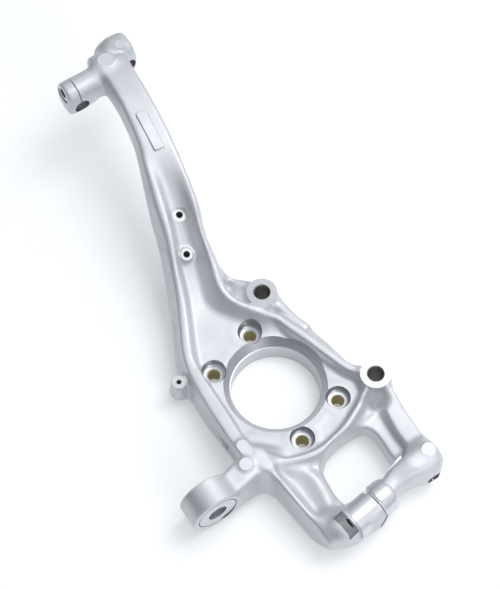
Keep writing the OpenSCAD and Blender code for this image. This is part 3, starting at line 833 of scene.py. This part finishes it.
def nodes_of(name):
    """The node tree and the shader of a new material."""
    material = bpy.data.materials.new(name)
    material.use_nodes = True
    tree = material.node_tree
    return tree, tree.nodes["Principled BSDF"]


def noise(tree, scale, detail, vector):
    n = tree.nodes.new("ShaderNodeTexNoise")
    n.inputs["Scale"].default_value = scale
    n.inputs["Detail"].default_value = detail
    n.inputs["Roughness"].default_value = 0.55
    tree.links.new(vector, n.inputs["Vector"])
    return n.outputs["Fac"]


def ramp(tree, fac, stops):
    """Colours at places from 0 to 1, blended between them."""
    r = tree.nodes.new("ShaderNodeValToRGB")
    while len(r.color_ramp.elements) < len(stops):
        r.color_ramp.elements.new(0.5)
    for e, (place, colour) in zip(r.color_ramp.elements, stops):
        e.position = place
        e.color = (*colour, 1)
    tree.links.new(fac, r.inputs["Fac"])
    return r.outputs["Color"]


def map_range(tree, value, low, high, to_low, to_high):
    r = tree.nodes.new("ShaderNodeMapRange")
    for n, v in zip(("From Min", "From Max", "To Min", "To Max"), (low, high, to_low, to_high)):
        r.inputs[n].default_value = v
    tree.links.new(value, r.inputs["Value"])
    return r.outputs["Result"]


def bump(tree, height, strength, distance):
    b = tree.nodes.new("ShaderNodeBump")
    b.inputs["Strength"].default_value = strength
    b.inputs["Distance"].default_value = distance
    tree.links.new(height, b.inputs["Height"])
    return b.outputs["Normal"]


def metal(name, dark, light, metallic, rough, spread, grain, grain_depth):
    """A metal with a clouded tone, an uneven gloss and a fine grain."""
    tree, shader = nodes_of(name)
    place = tree.nodes.new("ShaderNodeTexCoord").outputs["Object"]
    tone = ramp(tree, noise(tree, 14, 4, place), [(0.3, dark), (0.7, light)])
    gloss = map_range(tree, noise(tree, 45, 3, place), 0.3, 0.7, rough - spread, rough + spread)
    fine = bump(tree, noise(tree, grain, 2, place), 0.35, grain_depth)
    tree.links.new(tone, shader.inputs["Base Color"])
    tree.links.new(gloss, shader.inputs["Roughness"])
    tree.links.new(fine, shader.inputs["Normal"])
    shader.inputs["Metallic"].default_value = metallic


# studio

def math_node(tree, operation, a, b):
    """A math node over an output and either another output or a number."""
    n = tree.nodes.new("ShaderNodeMath")
    n.operation = operation
    tree.links.new(a, n.inputs[0])
    if isinstance(b, float):
        n.inputs[1].default_value = b
    else:
        tree.links.new(b, n.inputs[1])
    return n.outputs[0]


def make_floor():
    """Pale paper, a little brighter to the camera and in reflections, which keeps the part's shadow."""
    h = PAPER_HALF
    mesh = bpy.data.meshes.new("floor")
    mesh.from_pydata([(-h, -h, 0), (h, -h, 0), (h, h, 0), (-h, h, 0)], [], [(0, 1, 2, 3)])
    floor = bpy.data.objects.new("floor", mesh)
    bpy.context.scene.collection.objects.link(floor)
    tree, shader = nodes_of("paper")
    shader.inputs["Base Color"].default_value = PAPER_TONE
    shader.inputs["Roughness"].default_value = 0.9
    shader.inputs["Specular IOR Level"].default_value = 0.0
    path = tree.nodes.new("ShaderNodeLightPath")
    seen = math_node(tree, "MAXIMUM", path.outputs["Is Camera Ray"], path.outputs["Is Glossy Ray"])
    glow = math_node(tree, "MULTIPLY", seen, PAPER_GLOW)
    shader.inputs["Emission Color"].default_value = (1, 1, 1, 1)
    tree.links.new(glow, shader.inputs["Emission Strength"])
    mesh.materials.append(bpy.data.materials["paper"])


def make_world():
    """A sky that is bright on one side and dark on the other, which the camera sees at full strength."""
    world = bpy.data.worlds.new("studio")
    bpy.context.scene.world = world
    world.use_nodes = True
    tree = world.node_tree
    back = tree.nodes["Background"]
    direction = tree.nodes.new("ShaderNodeTexCoord").outputs["Generated"]
    toward = tree.nodes.new("ShaderNodeVectorMath")
    toward.operation = "DOT_PRODUCT"
    toward.inputs[1].default_value = SKY_TOP
    tree.links.new(direction, toward.inputs[0])
    sky = ramp(tree, map_range(tree, toward.outputs["Value"], -1, 1, 0, 1), SKY_STOPS)
    tree.links.new(sky, back.inputs["Color"])
    path = tree.nodes.new("ShaderNodeLightPath")
    strength = map_range(tree, path.outputs["Is Camera Ray"], 0, 1, SKY_STRENGTH, 1.0)
    tree.links.new(strength, back.inputs["Strength"])


def area_light(name, place, target, size, power):
    """A square lamp that faces a target."""
    data = bpy.data.lights.new(name, "AREA")
    data.shape = "SQUARE"
    data.size = size
    data.energy = power
    lamp = bpy.data.objects.new(name, data)
    bpy.context.scene.collection.objects.link(lamp)
    lamp.location = place
    lamp.rotation_euler = (Vector(target) - Vector(place)).to_track_quat("-Z", "Y").to_euler()


def make_camera():
    """The camera at the photo's angle."""
    data = bpy.data.cameras.new("camera")
    data.sensor_width = SENSOR
    data.lens = SENSOR * FOCAL_PIXELS / PHOTO_HEIGHT
    data.clip_start = 0.05
    data.clip_end = 60
    camera = bpy.data.objects.new("camera", data)
    bpy.context.scene.collection.objects.link(camera)
    right = Vector(CAMERA_RIGHT)
    forward = Vector(CAMERA_FORWARD)
    upward = right.cross(forward)
    turn = Matrix((right, upward, -forward)).transposed().to_4x4()
    camera.matrix_world = Matrix.Translation(CAMERA_PLACE) @ turn
    bpy.context.scene.camera = camera


# pieces

def make_knuckle():
    """The forging: blended shapes, joined with exact bosses and pads, then machined."""
    skin = bpy.data.objects.new("forged_knuckle", make_forging().mesh("forged_knuckle"))
    bpy.context.scene.collection.objects.link(skin)
    skin.data.materials.append(bpy.data.materials["cast"])
    for shape, finish in raised():
        combine(skin, shape, finish, "UNION")
    for shape, finish in cutters():
        combine(skin, shape, finish, "DIFFERENCE")
    mark_edges(skin.data)
    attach(skin, "root")
    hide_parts("knuckle")


def finish_bush():
    """The CAD bush, in steel and with a small bevel."""
    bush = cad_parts["tie_rod_bush"]
    bush.data.materials.clear()
    bush.data.materials.append(bpy.data.materials["steel"])
    edge = bush.modifiers.new("edge", "BEVEL")
    edge.width = 0.0008
    edge.segments = 2
    edge.limit_method = "ANGLE"


bpy.context.scene.view_settings.view_transform = "Standard"
for finish_name, values in FINISHES.items():
    metal(finish_name, *values)
make_knuckle()
finish_bush()
make_floor()
make_world()
for lamp in LAMPS:
    area_light(*lamp)
make_camera()
